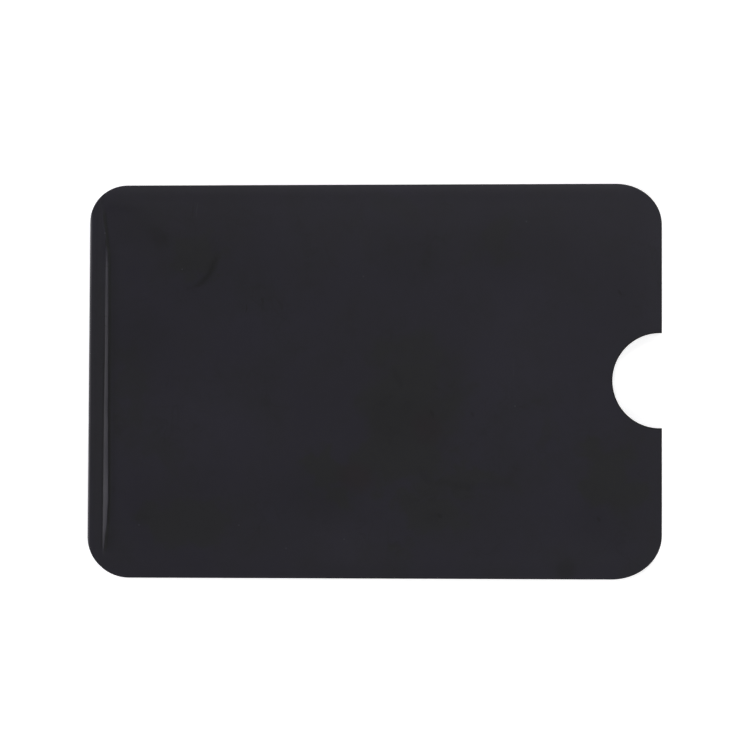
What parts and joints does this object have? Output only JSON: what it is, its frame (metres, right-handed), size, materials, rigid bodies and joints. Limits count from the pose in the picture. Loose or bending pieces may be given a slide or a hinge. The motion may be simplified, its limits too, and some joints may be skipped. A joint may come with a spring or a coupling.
{
  "type": "rfid card sleeve",
  "caption": "Flat laminated card sleeve, folded at one short end, sealed on both long edges, with an open mouth and a round thumb notch.",
  "frame": {"origin": "under the middle of the sleeve, on the surface that it rests on", "axes": "+X from the fold to the open mouth, +Y across the sleeve, +Z from the back leaf up to the front leaf"},
  "size_m": [0.092, 0.063, 0.0016],
  "materials": {
    "matt_film": "matt",
    "paper_core": "matt",
    "tie_coat": "satin",
    "foil": "satin",
    "liner": "satin",
    "adhesive": "satin"
  },
  "bodies": {
    "root": {"front_film": "matt_film", "back_film": "matt_film", "upper_edge_film": "matt_film", "lower_edge_film": "matt_film", "fold_film": "matt_film", "front_paper": "paper_core", "back_paper": "paper_core", "upper_edge_paper": "paper_core", "lower_edge_paper": "paper_core", "fold_paper": "paper_core", "tie_coat": "tie_coat", "foil_shield": "foil", "inner_liner": "liner", "upper_seal": "adhesive", "lower_seal": "adhesive", "fold_seal": "adhesive"}
  },
  "joints": []
}
